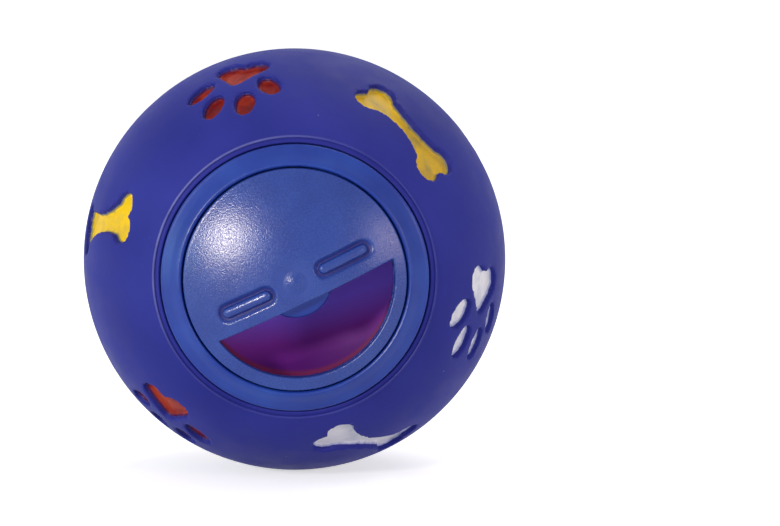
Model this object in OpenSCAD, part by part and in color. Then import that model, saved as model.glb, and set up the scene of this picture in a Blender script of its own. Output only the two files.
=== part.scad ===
// A treat dispensing ball: a hollow soft ball with painted paw and bone recesses, and in its mouth a hard closure
// with a turning half-moon dial and a labyrinth insert that slows the treats down.
// The origin is the ball's centre. The mouth looks along -Y and +Z is up. The modules below draw each piece with the
// mouth along +Z, and upright() then turns it.

/* [Ball] */
// Outer diameter of the ball
ball_d = 110; // [100:1:130]
// Thickness of the ball's wall
ball_wall = 4; // [3.5:0.1:5]
// Thickness of the sleeve that turns in from the mouth
sleeve_t = 2.5; // [1.5:0.1:3.5]
// Length of that sleeve, from the closure's seat inwards
sleeve_len = 9.5; // [7:0.5:11]
// Rounding of the mouth's outer edge
lip_round = 0.8; // [0.4:0.1:1.2]
// Depth of the paw and bone recesses, down to the paint
recess_depth = 1.6; // [1:0.1:2.4]
// Thickness of the paint on a recess's floor
paint_t = 0.3; // [0.1:0.05:0.4]

/* [Paw prints] */
// Length of the paw's pad, from heel to tip
pad_l = 12; // [10:0.5:14]
// Radius of the two heel lobes of the pad
pad_heel_r = 3.7; // [3.4:0.1:4.2]
// Distance of each heel lobe from the paw's middle line
pad_heel_x = 3.3; // [2.8:0.1:3.3]
// Radius of the pad's tip
pad_tip_r = 2; // [1.2:0.1:2.6]
// Width of a toe
toe_w = 5.4; // [4.4:0.1:5.8]
// Length of a toe
toe_l = 9; // [7.5:0.1:9.4]
// Distance of the inner toes from the paw's middle line
inner_toe_x = 4.2; // [4:0.1:4.8]
// Height of the inner toes above the pad's tip
inner_toe_y = 7.9; // [7.2:0.1:8.6]
// Distance of the outer toes from the paw's middle line
outer_toe_x = 9.1; // [8.9:0.1:10.4]
// Height of the outer toes above the pad's tip
outer_toe_y = 0.8; // [0:0.1:1.4]
// Lean of the inner toes
inner_toe_angle = 8; // [0:1:14]
// Lean of the outer toes
outer_toe_angle = 34; // [20:1:45]

/* [Bones] */
// Distance of the bone's lobes from its middle, along it
bone_lobe_x = 11.4; // [10:0.1:12.5]
// Distance of the lobes from the bone's middle line
bone_lobe_y = 2.9; // [2.5:0.1:3.1]
// Radius of a lobe
bone_lobe_r = 3.6; // [3.3:0.1:4]
// Width of the bone's shaft at its waist
bone_waist = 5; // [4:0.1:6]
// Radius of the hollow sides of the shaft
bone_side_r = 20; // [18:1:26]

/* [Closure] */
// Width of the closure's ring round the dial
ring_w = 5.2; // [5:0.1:6.5]
// Height of the ring's edge above its seat
ring_h = 2.9; // [2:0.1:3.4]
// Rounding of the ring's outer edge
ring_round = 0.5; // [0.2:0.1:0.8]
// Rounding of the ring's inner lip, beside the dial
inner_lip_round = 0.9; // [0.5:0.1:1.2]
// How far the ring reaches out past the neck that plugs into the mouth
ring_reach = 2.7; // [2.6:0.1:3.6]
// Wall of the neck
neck_wall = 2; // [1.4:0.1:2.4]
// Length of the neck below the seat
neck_len = 12.4; // [11.8:0.1:14]
// Height of the bead round the neck
bead_h = 0.5; // [0.2:0.1:0.6]
// Thickness of the fixed plate below the dial
plate_t = 1.8; // [1.2:0.1:2.4]
// Diameter of the hub that carries the pivot
hub_d = 18.2; // [15:0.2:20]
// Height of the hub
hub_h = 7; // [5:0.5:8]
// Rounding of the hub's edge
hub_round = 1.3; // [0.5:0.1:1.8]

/* [Dial] */
// Diameter of the dial
dial_d = 54.4; // [52:0.2:56]
// Thickness of the dial
dial_t = 2; // [1.6:0.1:2.4]
// How far the dial's middle lies below the ball's round
dial_sink = 0.7; // [0.6:0.1:1.2]
// How far the dial's edge lies below the ball's round
dial_edge_sink = 0.25; // [0.1:0.05:0.5]
// Rounding of the dial's edge
dial_round = 0.5; // [0.2:0.1:0.8]
// Width of the dial's rim round the window
window_rim = 3; // [2.6:0.1:4]
// Distance of the window's straight side from the axis
window_offset = 5.8; // [5.3:0.1:8]
// Slope of the window's straight side
window_angle = 25.3; // [-90:0.1:90]
// Width of a finger rib
rib_w = 2.5; // [2:0.1:3]
// Height of a finger rib above the dial
rib_h = 0.5; // [0.2:0.05:0.5]
// Room between a rib and the flat round the pin's head
rib_inner_room = 1.5; // [1.4:0.1:3]
// Distance of a rib's outer end inside the window's round
rib_outer_room = 4.7; // [3.5:0.1:6]
// Distance of the ribs' line from the dial's middle
rib_line = 0.1; // [0:0.1:1.4]
// Width of the sunk pocket round a rib
pocket_margin = 1.2; // [0.7:0.05:1.3]
// Depth of the pocket
pocket_depth = 0.9; // [0.4:0.1:1.1]
// Diameter of the flat round the pin's head
spot_d = 10; // [8:0.5:10]
// Depth of that flat at its middle
spot_depth = 0.4; // [0.3:0.05:0.6]

/* [Pivot pin] */
// Diameter of the pin
pin_d = 3.6; // [3:0.1:4]
// Diameter of the pin's head
pin_head_d = 4.6; // [4.4:0.1:5.4]
// Height of the pin's head
pin_head_h = 0.65; // [0.4:0.05:0.8]
// Diameter of the pin's snap end
barb_d = 4.8; // [4.6:0.1:5.2]
// Length of the snap end
barb_l = 2.4; // [1.8:0.1:3]
// Width of the slot that lets the snap end close
pin_slot = 0.9; // [0.6:0.1:1.2]

/* [Labyrinth] */
// Wall of the insert's mouldings
insert_wall = 1.6; // [1.2:0.1:2]
// How far the dish's middle lies below the neck's end
dish_drop = 3.4; // [2.6:0.1:4]
// How far the dish's edge lies below the top of the bowl's skirt
dish_edge_drop = 5.6; // [4:0.1:7]
// Outer diameter of the labyrinth tube
tube_d = 48; // [44:0.5:50]
// Length of the spigot that the tube pushes over
spigot_l = 5.5; // [4:0.5:7]
// Least room beside the holes that a treat has to find, from the post and from the spigot's bore
hole_room = 0.35; // [0.3:0.05:2]
// Diameter of the post that carries the baffles
post_d = 6; // [4:0.2:6.4]
// Width of a side port in the tube
port_w = 17; // [14:0.5:20]
// Height of a side port
port_h = 13; // [10:0.5:14]
// Free room between the end cap and the ball's back wall
rear_room = 17; // [15:0.5:18]

/* [Clearances] */
// Between the closure and the soft mouth
mouth_gap = 0.5; // [0.3:0.05:0.6]
// Between the dial and the ring round it
groove = 0.8; // [0.5:0.1:1.2]
// Between the dial and the plate below it
dial_gap = 0.5; // [0.3:0.1:0.8]
// Between the pin and the hub that it turns in
pin_gap = 0.06; // [0.02:0.01:0.09]
// Between mouldings that push together
push_gap = 0.1; // [0.05:0.05:0.2]
// Between the paint and its recess
paint_gap = 0.05; // [0.03:0.01:0.1]

/* [Hidden] */
$fn = 96;
// How far a cut runs past what it cuts, and the share of its radius by which a rounding cut does
overrun = 1;
round_overrun_share = 0.5;

// Where each motif sits, in degrees: how far it lies from the mouth's edge as seen from the ball's centre, its place
// round the mouth's axis, and its own turn. The first rows are those that the mouth's side shows.
red_paw_angle = [[25.9, 107.8, 70], [28.7, -130.6, -65], [62.2, 30.7, -90], [66.2, -41, 60], [110.2, 125, 20]];
yellow_bone_angle = [[19.7, 52, 70.4], [29.7, 166.5, 18], [67.2, 137, 40], [67.2, -99, -60], [110.2, 5, 25]];
white_paw_angle = [[23.1, -13.5, 176.6], [67.2, 80, -30], [110.2, -115, -100]];
white_bone_angle = [[23.2, -67.4, 38], [67.2, -160, 70]];
// How much of a lobe's radius the pad's straight sides reach
pad_side_share = 0.98;
// The toes of a paw: how far across and up each one sits, and its lean
toes = [[-outer_toe_x, outer_toe_y, outer_toe_angle], [-inner_toe_x, inner_toe_y, inner_toe_angle],
        [inner_toe_x, inner_toe_y, -inner_toe_angle], [outer_toe_x, outer_toe_y, -outer_toe_angle]];

ball_r = ball_d / 2;
inner_r = ball_r - ball_wall;
paint_r = ball_r - recess_depth;
floor_r = paint_r - paint_t - paint_gap;

dial_r = dial_d / 2;
ring_bore_r = dial_r + groove;
ring_r = ring_bore_r + ring_w;
seat_r = ring_r + mouth_gap;
mouth_edge_angle = asin(seat_r / ball_r);
seat_z = sqrt(ball_r * ball_r - ring_r * ring_r) - ring_h;
neck_r = ring_r - ring_reach;
neck_in_r = neck_r - neck_wall;
neck_end_z = seat_z - neck_len;
mouth_r = neck_r + bead_h + mouth_gap;
sleeve_end_z = seat_z - sleeve_len;
bead_z = (sleeve_end_z + neck_end_z) / 2;

dial_edge_z = sqrt(ball_r * ball_r - dial_r * dial_r) - dial_edge_sink;
dome_rise = ball_r - dial_sink - dial_edge_z;
dome_r = (dial_r * dial_r + dome_rise * dome_rise) / (2 * dome_rise);
dome_z = ball_r - dial_sink - dome_r;
dome_in_r = dome_r - dial_t;
plate_top_r = dome_in_r - dial_gap;
plate_low_r = plate_top_r - plate_t;
window_r = dial_r - window_rim;
spot_z = ball_r - dial_sink - spot_depth;
rib_start = spot_d / 2 + rib_inner_room;
rib_l = window_r - rib_outer_room - rib_start;
rib_from_middle = rib_start + rib_l / 2;

hub_r = hub_d / 2;
hub_top_z = dome_z + sqrt(dome_in_r * dome_in_r - hub_r * hub_r) - dial_gap;
hub_low_z = hub_top_z - hub_h;
boss_low_z = dome_z + dome_in_r - dial_gap / 2;
pin_r = pin_d / 2;
pin_head_r = pin_head_d / 2;
pin_cap_r = (pin_head_r * pin_head_r + pin_head_h * pin_head_h) / (2 * pin_head_h);
barb_r = barb_d / 2;
barb_top_z = hub_low_z - dial_gap;
pin_end_z = barb_top_z - barb_l;
shaft_low_z = barb_top_z - barb_l / 4;
shaft_top_z = spot_z + pin_head_h / 4;

skirt_r = neck_in_r - push_gap;
skirt_in_r = skirt_r - insert_wall;
skirt_top_z = seat_z - push_gap;
flange_low_z = neck_end_z - insert_wall;
dish_low_z = neck_end_z - dish_drop;
dish_rise = skirt_top_z - dish_edge_drop - dish_low_z;
dish_r = (skirt_r * skirt_r + dish_rise * dish_rise) / (2 * dish_rise);
dish_z = dish_low_z + dish_r;
tube_r = tube_d / 2;
tube_in_r = tube_r - insert_wall;
spigot_r = tube_in_r - push_gap;
spigot_in_r = spigot_r - insert_wall;
tube_top_z = dish_low_z - 2 * insert_wall;
spigot_low_z = tube_top_z - spigot_l;
cap_top_z = rear_room - inner_r + insert_wall;
tube_len = tube_top_z - cap_top_z;
cap_rim_h = 2 * insert_wall;
post_r = post_d / 2;
hole_r = (spigot_in_r - post_r) / 2 - hole_room;
hole_offset = (spigot_in_r + post_r) / 2;
baffle_share = 1 / 3;
baffle_zs = [cap_top_z + baffle_share * tube_len, tube_top_z - baffle_share * tube_len];
port_low_z = cap_top_z + cap_rim_h;

function dir(a) = [cos(a), sin(a)];

// Turns what is drawn with the mouth along +Z, so that the mouth looks along -Y
module upright() {
  rotate([90, 0, 0]) children();
}

// Carries an outline's prism to its place on the ball
module on_ball(place) {
  rotate([0, 0, place[1]]) rotate([0, mouth_edge_angle + place[0], 0]) rotate([0, 0, place[2]]) children();
}

// Takes the sharp corner off a profile: an arc of radius r about c, from the angle a to the angle b
module round_off(c, r, a, b) {
  reach = (1 + round_overrun_share) * r;
  translate(c) difference() {
    polygon([[0, 0], reach * dir(a), reach * (dir(a) + dir(b)) / (1 + dir(a) * dir(b)), reach * dir(b)]);
    circle(r);
  }
}

// Rounds the corner where an upright wall at x = wall_x meets a round of radius big_r about [0, big_z].
// side is 1 where the wall's free side is outwards, and -1 where it is inwards.
module round_rim(wall_x, big_r, big_z, r, side) {
  x = wall_x - side * r;
  z = sqrt((big_r - r) * (big_r - r) - x * x);
  round_off([x, big_z + z], r, side > 0 ? 0 : 180, atan2(z, x));
}

// The half plane in which a profile is drawn before it is turned round the axis
module right_half(size) {
  translate([0, -size]) square([size, 2 * size]);
}

// The paw's heart-shaped pad: two heel lobes and a tip, joined by straight sides that run just inside their common
// tangents. Its tip is at the origin.
module pad_outline(inset) {
  heel_r = pad_heel_r - inset;
  tip_r = pad_tip_r - inset;
  heel = [pad_heel_x, pad_heel_r - pad_l];
  tip = [0, -pad_tip_r];
  run = tip - heel;
  side_a = atan2(run[1], run[0]) - acos((heel_r - tip_r) / norm(run));
  across = [-1, 1];
  low = heel + pad_side_share * heel_r * dir(side_a);
  high = tip + pad_side_share * tip_r * dir(side_a);
  for (s = across) translate([s * heel[0], heel[1]]) circle(heel_r);
  translate(tip) circle(tip_r);
  polygon([low, high, [-high[0], high[1]], [-low[0], low[1]], [-heel[0], heel[1]], heel]);
}

// One toe: an ellipse
module toe_outline(inset) {
  half_l = toe_l / 2 - inset;
  scale([(toe_w / 2 - inset) / half_l, 1]) circle(half_l);
}

// Turns a toe about the ball's centre to its place beside the pad, with its lean
module at_toe(t) {
  reach = norm([t[0], t[1]]);
  rotate(a = asin(reach / ball_r), v = [-t[1], t[0], 0]) rotate([0, 0, t[2]]) children();
}

// A bone: four round lobes and a shaft with hollow sides
module bone_outline(inset) {
  for (x = [-1, 1], y = [-1, 1])
    translate([x * bone_lobe_x, y * bone_lobe_y]) circle(bone_lobe_r - inset);
  difference() {
    square([2 * bone_lobe_x, 2 * bone_lobe_y + bone_lobe_r - 2 * inset], center = true);
    for (y = [-1, 1]) translate([0, y * (bone_waist / 2 + bone_side_r)]) circle(bone_side_r + inset);
  }
}

// Turns a sphere about a motif's place, so that its seam and poles are far from the motif
module seamless(r) {
  rotate([0, 90, 0]) sphere(r);
}

// What a motif's outline cuts from the ball, down to its floor
module recess() {
  difference() {
    translate([0, 0, floor_r / 2]) linear_extrude(ball_r) children();
    seamless(floor_r);
  }
}

// The layer of paint on a recess's floor
module paint() {
  intersection() {
    difference() {
      seamless(paint_r);
      seamless(paint_r - paint_t);
    }
    translate([0, 0, floor_r / 2]) linear_extrude(ball_r) children();
  }
}

// The ball's wall, with the seat for the closure and the sleeve that turns in from it
module ball_profile() {
  difference() {
    union() {
      intersection() {
        difference() {
          circle(ball_r);
          circle(inner_r);
        }
        right_half(ball_r);
      }
      translate([mouth_r, sleeve_end_z]) square([sleeve_t, sleeve_len]);
    }
    translate([0, sleeve_end_z - overrun]) square([mouth_r, ball_r]);
    translate([0, seat_z]) square([seat_r, ball_r]);
    round_rim(seat_r, ball_r, 0, lip_round, -1);
  }
}

module ball_shell() {
  color("#3a3f96") upright() difference() {
    rotate_extrude() ball_profile();
    for (p = concat(red_paw_angle, white_paw_angle)) on_ball(p) {
      recess() pad_outline(0);
      for (t = toes) at_toe(t) recess() toe_outline(0);
    }
    for (p = concat(yellow_bone_angle, white_bone_angle)) on_ball(p) recess() bone_outline(0);
  }
}

// The paint in the paws at the given places
module paw_paint(places) {
  upright() for (p = places) on_ball(p) {
    paint() pad_outline(paint_gap);
    for (t = toes) at_toe(t) paint() toe_outline(paint_gap);
  }
}

module bone_paint(places) {
  upright() for (p = places) on_ball(p) paint() bone_outline(paint_gap);
}

module red_paw_paint() {
  color("#b03a2c") paw_paint(red_paw_angle);
}

module yellow_bone_paint() {
  color("#f2cb31") bone_paint(yellow_bone_angle);
}

module white_paw_paint() {
  color("#d6dae6") paw_paint(white_paw_angle);
}

module white_bone_paint() {
  color("#d6dae6") bone_paint(white_bone_angle);
}

// The half-moon of the dial's window and the plate's port, as a prism through both
module half_moon() {
  rotate([0, 0, window_angle]) intersection() {
    cylinder(h = ball_r + overrun, r = window_r);
    translate([-ball_r, -ball_d - window_offset, 0]) cube([ball_d, ball_d, ball_d]);
  }
}

// Ring, neck and domed plate as one turned profile
module closure_profile() {
  difference() {
    union() {
      intersection() {
        circle(ball_r);
        translate([ring_bore_r, seat_z]) square([ring_r - ring_bore_r, ball_r]);
      }
      translate([neck_in_r, neck_end_z]) square([neck_wall, neck_len + ring_h / 2]);
      translate([neck_r - bead_h, bead_z]) circle(2 * bead_h);
      intersection() {
        translate([0, dome_z]) difference() {
          circle(plate_top_r);
          circle(plate_low_r);
        }
        square([ring_bore_r + overrun, ball_r]);
      }
    }
    round_rim(ring_r, ball_r, 0, ring_round, 1);
    round_rim(ring_bore_r, ball_r, 0, inner_lip_round, -1);
  }
}

module hub_profile() {
  difference() {
    translate([0, hub_low_z]) square([hub_r, hub_h]);
    round_off([hub_r - hub_round, hub_top_z - hub_round], hub_round, 0, 90);
  }
}

module closure_body() {
  color("#3558a5") upright() difference() {
    union() {
      difference() {
        rotate_extrude() closure_profile();
        half_moon();
      }
      rotate_extrude() hub_profile();
    }
    translate([0, 0, hub_low_z - overrun]) cylinder(h = ball_r, r = pin_r + pin_gap);
  }
}

// A finger rib or its pocket, grown by margin all round, as a prism
module rib_prism(margin) {
  w = rib_w + 2 * margin;
  reach = (rib_l - rib_w) / 2;
  linear_extrude(ball_r + overrun) {
    for (s = [-1, 1]) translate([s * reach, 0]) circle(w / 2);
    square([2 * reach, w], center = true);
  }
}

// Sets its children at the two ribs' places
module at_ribs() {
  rotate([0, 0, window_angle]) for (s = [-1, 1]) translate([s * rib_from_middle, rib_line, 0]) children();
}

module dial_profile() {
  difference() {
    intersection() {
      translate([0, dome_z]) difference() {
        circle(dome_r);
        circle(dome_in_r);
      }
      square([dial_r, ball_r]);
    }
    round_rim(dial_r, dome_r, dome_z, dial_round, 1);
  }
}

module dial() {
  color("#4060ad") upright() difference() {
    union() {
      difference() {
        rotate_extrude() dial_profile();
        half_moon();
        difference() {
          at_ribs() rib_prism(pocket_margin);
          translate([0, 0, dome_z]) sphere(dome_r - pocket_depth);
        }
      }
      intersection() {
        at_ribs() rib_prism(0);
        translate([0, 0, dome_z]) difference() {
          sphere(dome_r + rib_h);
          sphere(dome_in_r + dial_t / 4);
        }
      }
      translate([0, 0, boss_low_z]) cylinder(h = spot_z - boss_low_z, r = spot_d / 2);
    }
    translate([0, 0, spot_z]) cylinder(h = ball_r, r = spot_d / 2);
    cylinder(h = ball_r, r = pin_r + pin_gap / 2);
  }
}

module pivot_pin() {
  color("#5470b8") upright() difference() {
    union() {
      intersection() {
        translate([0, 0, spot_z]) cylinder(h = pin_head_h, r = pin_head_r);
        translate([0, 0, spot_z + pin_head_h - pin_cap_r]) sphere(pin_cap_r);
      }
      translate([0, 0, shaft_low_z]) cylinder(h = shaft_top_z - shaft_low_z, r = pin_r);
      rotate_extrude() polygon([[0, pin_end_z], [pin_r - pin_slot / 2, pin_end_z], [barb_r, barb_top_z],
                                [0, barb_top_z]]);
    }
    translate([-barb_d, -pin_slot / 2, pin_end_z - overrun]) cube([2 * barb_d, pin_slot, barb_l + hub_h / 2]);
  }
}

// The bowl: a skirt that plugs into the neck, a flange that stops it, a dish, and a spigot for the tube
module bowl_profile() {
  intersection() {
    translate([0, dish_z]) difference() {
      circle(dish_r + insert_wall);
      circle(dish_r);
    }
    square([skirt_r, dish_z]);
  }
  translate([skirt_in_r, flange_low_z]) square([insert_wall, skirt_top_z - flange_low_z]);
  translate([skirt_in_r, flange_low_z]) square([neck_r - skirt_in_r, insert_wall]);
  difference() {
    translate([spigot_in_r, spigot_low_z]) square([insert_wall, dish_z - spigot_low_z]);
    translate([0, dish_z]) circle(dish_r);
  }
  translate([spigot_in_r, tube_top_z]) square([tube_r - spigot_in_r, insert_wall]);
}

// A round hole for the treats, on the side away from the window, or turned round by half a turn
module treat_hole(turn) {
  rotate([0, 0, window_angle + 90 + turn]) translate([hole_offset, 0, 0])
    cylinder(h = ball_d, r = hole_r, center = true);
}

module labyrinth_bowl() {
  color("#8e1f3c") upright() difference() {
    rotate_extrude() bowl_profile();
    treat_hole(0);
  }
}

module labyrinth_tube() {
  color("#9a2442") upright() difference() {
    translate([0, 0, cap_top_z]) cylinder(h = tube_len, r = tube_r);
    translate([0, 0, cap_top_z - overrun]) cylinder(h = tube_len + 2 * overrun, r = tube_in_r);
    translate([0, 0, port_low_z + port_h / 2]) for (a = [0, 90])
      rotate([0, 0, a]) cube([ball_d, port_w, port_h], center = true);
  }
}

// The post and the two baffles, whose holes lie on opposite sides
module baffle_stack() {
  color("#a82c48") upright() {
    translate([0, 0, cap_top_z]) cylinder(h = baffle_zs[1] - cap_top_z + 2 * insert_wall, r = post_r);
    for (i = [0, 1]) difference() {
      translate([0, 0, baffle_zs[i]]) cylinder(h = insert_wall, r = tube_in_r - push_gap);
      treat_hole(180 * i);
    }
  }
}

module end_cap() {
  color("#8a1c36") upright() {
    translate([0, 0, cap_top_z - insert_wall]) cylinder(h = insert_wall, r = tube_r);
    translate([0, 0, cap_top_z - insert_wall]) difference() {
      cylinder(h = insert_wall + cap_rim_h, r = spigot_r);
      translate([0, 0, insert_wall]) cylinder(h = ball_r, r = spigot_in_r);
    }
    translate([0, 0, cap_top_z - insert_wall]) difference() {
      cylinder(h = insert_wall + cap_rim_h, r = post_r + push_gap + insert_wall);
      translate([0, 0, insert_wall]) cylinder(h = ball_r, r = post_r + push_gap);
    }
  }
}

ball_shell();
red_paw_paint();
yellow_bone_paint();
white_paw_paint();
white_bone_paint();
closure_body();
dial();
pivot_pin();
labyrinth_bowl();
labyrinth_tube();
baffle_stack();
end_cap();
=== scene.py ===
import math

import bpy
from mathutils import Matrix, Vector


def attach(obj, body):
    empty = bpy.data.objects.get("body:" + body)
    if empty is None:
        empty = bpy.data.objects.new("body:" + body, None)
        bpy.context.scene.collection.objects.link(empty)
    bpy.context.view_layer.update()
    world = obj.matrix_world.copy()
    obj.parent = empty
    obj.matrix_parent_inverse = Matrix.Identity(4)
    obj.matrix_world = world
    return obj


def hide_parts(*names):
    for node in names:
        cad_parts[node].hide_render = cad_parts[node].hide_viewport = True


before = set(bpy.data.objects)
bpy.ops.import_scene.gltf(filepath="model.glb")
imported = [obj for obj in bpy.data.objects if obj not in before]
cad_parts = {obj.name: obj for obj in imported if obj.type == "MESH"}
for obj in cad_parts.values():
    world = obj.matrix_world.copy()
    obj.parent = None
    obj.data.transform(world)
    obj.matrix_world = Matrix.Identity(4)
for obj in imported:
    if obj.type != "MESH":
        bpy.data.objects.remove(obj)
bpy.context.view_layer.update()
print("frame loaded")

# Pieces are modelled in mm with the mouth along +Z. settle() then turns the mouth to -Y and scales to metres.
# Sizes are in mm and angles in degrees, but places in a material, lights and camera are in metres.
mmPerMetre = 1000
weldDistance = 0.0005  # mm within which the points of a piece are merged
middleOfNoise = {"From Min": 0.3, "From Max": 0.7}  # where nearly all values of a noise lie


def deselectAll():
    for obj in bpy.context.selected_objects:
        obj.select_set(False)


def pick(obj):
    deselectAll()
    obj.select_set(True)
    bpy.context.view_layer.objects.active = obj


def applyModifier(obj, kind, **settings):
    pick(obj)
    modifier = obj.modifiers.new(kind.lower(), kind)
    for name, value in settings.items():
        setattr(modifier, name, value)
    bpy.ops.object.modifier_apply(modifier=modifier.name)


def carve(target, tool, how="DIFFERENCE"):
    applyModifier(target, "BOOLEAN", object=tool, operation=how, solver="EXACT")
    bpy.data.objects.remove(tool)


def joinAll(objects, name):
    deselectAll()
    for obj in objects:
        obj.select_set(True)
    bpy.context.view_layer.objects.active = objects[0]
    bpy.ops.object.join()
    objects[0].name = name
    return objects[0]


def fuseAll(objects):
    for obj in objects[1:]:
        carve(objects[0], obj, "UNION")
    return objects[0]


# Loses the slivers that a cut can leave beside the piece itself
def keepLargest(obj):
    pick(obj)
    bpy.ops.object.mode_set(mode="EDIT")
    bpy.ops.mesh.select_all(action="SELECT")
    bpy.ops.mesh.dissolve_degenerate(threshold=weldDistance)
    bpy.ops.mesh.separate(type="LOOSE")
    bpy.ops.object.mode_set(mode="OBJECT")
    parts = sorted(bpy.context.selected_objects, key=lambda part: len(part.data.polygons))
    for part in parts[:-1]:
        bpy.data.objects.remove(part)
    return parts[-1]


def rod(radius, low, high, at=(0, 0), sides=64):
    deselectAll()
    bpy.ops.mesh.primitive_cylinder_add(vertices=sides, radius=radius, depth=high - low,
                                        location=(at[0], at[1], (low + high) / 2))
    bpy.ops.object.transform_apply()
    return bpy.context.object


def globe(radius, segments):
    deselectAll()
    bpy.ops.mesh.primitive_uv_sphere_add(segments=segments, ring_count=segments // 2, radius=radius)
    return bpy.context.object


def block(size, at):
    deselectAll()
    bpy.ops.mesh.primitive_cube_add(size=1, location=at, scale=size)
    bpy.ops.object.transform_apply()
    return bpy.context.object


# A flat outline pulled up into a prism
def prism(points, low, high):
    mesh = bpy.data.meshes.new("outline")
    mesh.from_pydata([(x, y, low) for x, y in points], [], [range(len(points))])
    obj = bpy.data.objects.new("outline", mesh)
    bpy.context.collection.objects.link(obj)
    pick(obj)
    bpy.ops.object.mode_set(mode="EDIT")
    bpy.ops.mesh.select_all(action="SELECT")
    bpy.ops.mesh.extrude_region_move(TRANSFORM_OT_translate={"value": (0, 0, high - low)})
    bpy.ops.mesh.select_all(action="SELECT")
    bpy.ops.mesh.normals_make_consistent(inside=False)
    bpy.ops.object.mode_set(mode="OBJECT")
    return obj


# A closed profile of (distance from the axis, height) turned round the axis
def turned(profile, steps=256):
    mesh = bpy.data.meshes.new("turned")
    count = len(profile)
    mesh.from_pydata([(x, 0, z) for x, z in profile], [(i, (i + 1) % count) for i in range(count)], [])
    obj = bpy.data.objects.new("turned", mesh)
    bpy.context.collection.objects.link(obj)
    pick(obj)
    bpy.ops.object.mode_set(mode="EDIT")
    bpy.ops.mesh.select_all(action="SELECT")
    bpy.ops.mesh.spin(steps=steps, angle=2 * math.pi, center=(0, 0, 0), axis=(0, 0, 1))
    bpy.ops.mesh.select_all(action="SELECT")
    bpy.ops.mesh.remove_doubles(threshold=weldDistance)
    bpy.ops.mesh.normals_make_consistent(inside=False)
    bpy.ops.object.mode_set(mode="OBJECT")
    return obj


# Points of an arc about a centre, from one angle to another in degrees
def arc(centre, radius, start, end, count):
    turns = [math.radians(start + (end - start) * i / (count - 1)) for i in range(count)]
    return [(centre[0] + radius * math.cos(a), centre[1] + radius * math.sin(a)) for a in turns]


# Melts a solid into even small squares, so that all its edges round off as they do in a moulding, and then thins
# them to a number of triangles
def soften(obj, values):
    voxel = values["voxel"]
    applyModifier(obj, "REMESH", mode="VOXEL", voxel_size=voxel)
    applyModifier(obj, "SMOOTH", factor=0.5, iterations=values["passes"])
    before = 2 * len(obj.data.polygons)
    if before > values["triangles"]:
        applyModifier(obj, "DECIMATE", ratio=values["triangles"] / before)


# Finishes a piece: places it, shades it, says what it rides on, and hides the node that it stands for
def settle(obj, name, body, node, material, smoothAngle=None):
    obj.name = obj.data.name = name
    obj.data.transform(Matrix.Scale(1 / mmPerMetre, 4) @ Matrix.Rotation(math.radians(90), 4, "X"))
    pick(obj)
    if smoothAngle:
        bpy.ops.object.shade_smooth_by_angle(angle=math.radians(smoothAngle))
    else:
        bpy.ops.object.shade_smooth()
    obj.data.materials.clear()
    obj.data.materials.append(material)
    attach(obj, body)
    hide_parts(node)
    print("made", name, len(obj.data.polygons), "faces")


# An sRGB hex colour as linear red, green, blue and alpha
def linear(hexColour):
    parts = [int(hexColour[i:i + 2], 16) / 255 for i in (1, 3, 5)]
    return [c / 12.92 if c <= 0.04045 else ((c + 0.055) / 1.055) ** 2.4 for c in parts] + [1]


# Adds a node with its settings, its inputs as values or links, and a ramp's colours as (position, hex)
def addNode(tree, kind, inputs=None, stops=(), **settings):
    node = tree.nodes.new("ShaderNode" + kind)
    for name, value in settings.items():
        setattr(node, name, value)
    for name, value in (inputs or {}).items():
        if isinstance(value, bpy.types.NodeSocket):
            tree.links.new(value, node.inputs[name])
        else:
            node.inputs[name].default_value = value
    while stops and len(node.color_ramp.elements) < len(stops):
        node.color_ramp.elements.new(0.5)  # moved to its own place just below
    for i, (position, hexColour) in enumerate(stops):
        node.color_ramp.elements[i].position = position
        node.color_ramp.elements[i].color = linear(hexColour)
    return node


def startMaterial(name):
    material = bpy.data.materials.new(name)
    material.use_nodes = True
    tree = material.node_tree
    tree.nodes.clear()
    place = addNode(tree, "TexCoord").outputs["Object"]
    return material, tree, place


def finishMaterial(tree, inputs):
    shader = addNode(tree, "BsdfPrincipled", inputs)
    addNode(tree, "OutputMaterial", {"Surface": shader.outputs["BSDF"]})


# Rotocast soft PVC: a matt skin with a faint bloom that pales it at grazing angles, soft cloudy colour, a few
# dust specks and a painted highlight along the flash round the mouth
vinylLook = {"dark": "#23287f", "mid": "#292e88", "light": "#2f3492", "speck": "#8e94cc", "bloom": "#b4b6d8",
             "cloudMm": 28, "grainMm": 0.45, "grain": 0.16, "wearAndHighlightMm": 7, "dustMm": 3.4, "dustPatchMm": 9,
             "dust": 0.45, "dustCore": 0.035, "dustRim": 0.075, "dustFrom": 0.58, "dustFull": 0.66,
             "grainDepthMm": 0.1, "leastRough": 0.53, "mostRough": 0.65, "sheen": 0.02, "sheenRough": 0.4,
             "specular": 0.1, "ior": 1.52, "flashMm": 35, "flashCoreMm": 0.15, "flashRimMm": 0.4,
             "flashShine": 0.22, "frontFrom": -0.041, "frontFull": -0.042, "highlightSide": (-0.8, 0, 0.6),
             "highlightFrom": 0.01, "highlightFull": 0.04, "leastHighlight": 0.1, "mostHighlight": 0.9}


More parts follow.
